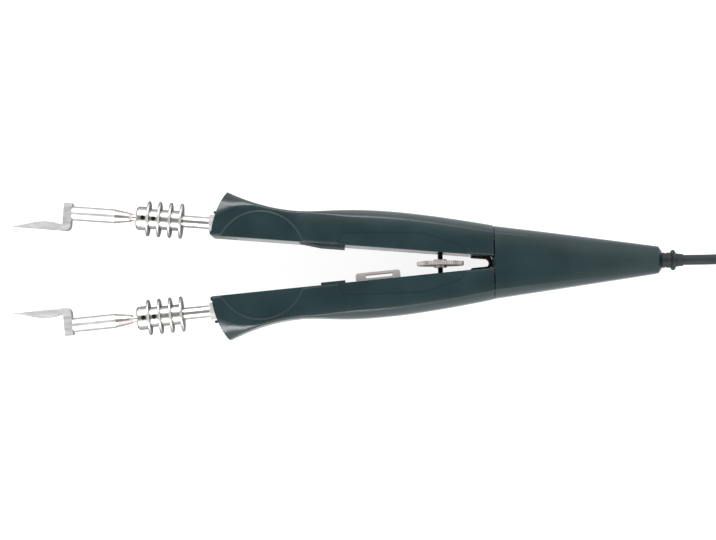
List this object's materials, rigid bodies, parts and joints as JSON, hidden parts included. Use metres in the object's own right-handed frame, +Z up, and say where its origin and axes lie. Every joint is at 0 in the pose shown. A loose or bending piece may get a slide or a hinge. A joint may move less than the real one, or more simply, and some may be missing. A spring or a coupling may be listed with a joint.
{
  "type": "soldering tweezers",
  "caption": "Heated soldering tweezers: two hinged, spring-opened arms with finned heating heads and pointed bits, a tapered rear housing, and a cord with a round plug.",
  "frame": {"origin": "on the hinge pin's axis, in the plane of the underside", "axes": "+X from the tips towards the cord, +Y towards the right arm, +Z up along the hinge pin"},
  "size_m": [0.386, 0.0597, 0.018],
  "materials": {
    "handle": "dark green-black moulded plastic, fine satin texture",
    "cover": "dark grey moulded plastic",
    "leaf": "pressed steel hinge leaf",
    "insulator": "white heat-resistant insulator",
    "steel": "bright steel",
    "tube": "polished stainless tube",
    "fins": "turned bright metal",
    "dark_steel": "blackened steel",
    "ferrule": "heat-tinted steel",
    "tip": "plated copper bit",
    "wire": "heat-resistant insulated wire",
    "spring": "blackened spring steel",
    "board": "small circuit board",
    "grommet": "black rubber",
    "cord": "dark grey flexible sheath",
    "plug": "black moulded plastic",
    "wheel": "straight-knurled metal",
    "nut": "turned brass",
    "slide": "bent bright sheet metal"
  },
  "bodies": {
    "housing": {"housing_bottom": "handle", "housing_top": "handle", "housing_screws": "dark_steel", "hinge_pin": "steel", "spreader_spring": "spring", "terminal_board": "board", "cord_clamp": "cover", "clamp_screws": "steel", "cord_grommet": "grommet", "cord_inner": "cord", "cord_cores": "wire", "right_jumpers": "wire", "left_jumpers": "wire", "cord_tube": "cord", "cord_coil": "cord", "cord_tail": "cord", "plug_relief": "grommet", "plug_barrel": "plug", "plug_shell": "steel", "plug_insert": "plug", "plug_pins": "steel"},
    "right_arm": {"right_arm_shell": "handle", "right_arm_cover": "cover", "right_hinge_leaf": "leaf", "right_bush": "insulator", "right_nose_pin": "dark_steel", "right_heater_tube": "tube", "right_cooling_sleeve": "fins", "right_set_screws": "dark_steel", "right_heating_rod": "tube", "right_ferrule": "ferrule", "right_tip": "tip", "right_leads": "wire"},
    "left_arm": {"left_arm_shell": "handle", "left_arm_cover": "cover", "left_hinge_leaf": "leaf", "left_bush": "insulator", "left_nose_pin": "dark_steel", "left_heater_tube": "tube", "left_cooling_sleeve": "fins", "left_set_screws": "dark_steel", "left_heating_rod": "tube", "left_ferrule": "ferrule", "left_tip": "tip", "left_leads": "wire"},
    "adjuster": {"thumb_wheel": "wheel", "spindle": "dark_steel"},
    "right_nut": {"right_stop_nut": "nut"},
    "left_nut": {"left_stop_nut": "nut"},
    "lock": {"lock_slide": "slide", "lock_keeper": "steel"}
  },
  "joints": [
    {"name": "right_arm_hinge", "type": "hinge", "parent": "housing", "child": "right_arm", "pos_m": [0, 0, 0.009], "axis": [0, 0, 1], "range_deg": [0, 5], "stiffness_Nm_per_rad": 0.8, "springref_deg": -5.73, "deforming": ["spreader_spring", "right_jumpers"]},
    {"name": "left_arm_hinge", "type": "hinge", "parent": "housing", "child": "left_arm", "pos_m": [0, 0, 0.009], "axis": [0, 0, -1], "range_deg": [0, 5], "stiffness_Nm_per_rad": 0.8, "springref_deg": -5.73, "deforming": ["spreader_spring", "left_jumpers"]},
    {"name": "wheel_spin", "type": "hinge", "parent": "housing", "child": "adjuster", "pos_m": [-0.0209, 0, 0.009], "axis": [0, 1, 0], "range_deg": [0, 720]},
    {"name": "right_nut_travel", "type": "slide", "parent": "housing", "child": "right_nut", "axis": [0, 1, 0], "range_m": [0, 0.00081]},
    {"name": "left_nut_travel", "type": "slide", "parent": "housing", "child": "left_nut", "axis": [0, -1, 0], "range_m": [0, 0.00081]},
    {"name": "lock_slide_travel", "type": "slide", "parent": "left_arm", "child": "lock", "axis": [-0.9962, -0.0872, 0], "range_m": [0, 0.0034]}
  ],
  "couplings": [
    {"joint": "right_nut_travel", "follows": "wheel_spin", "m_per_rad": 0.000063662},
    {"joint": "left_nut_travel", "follows": "wheel_spin", "m_per_rad": 0.000063662}
  ]
}
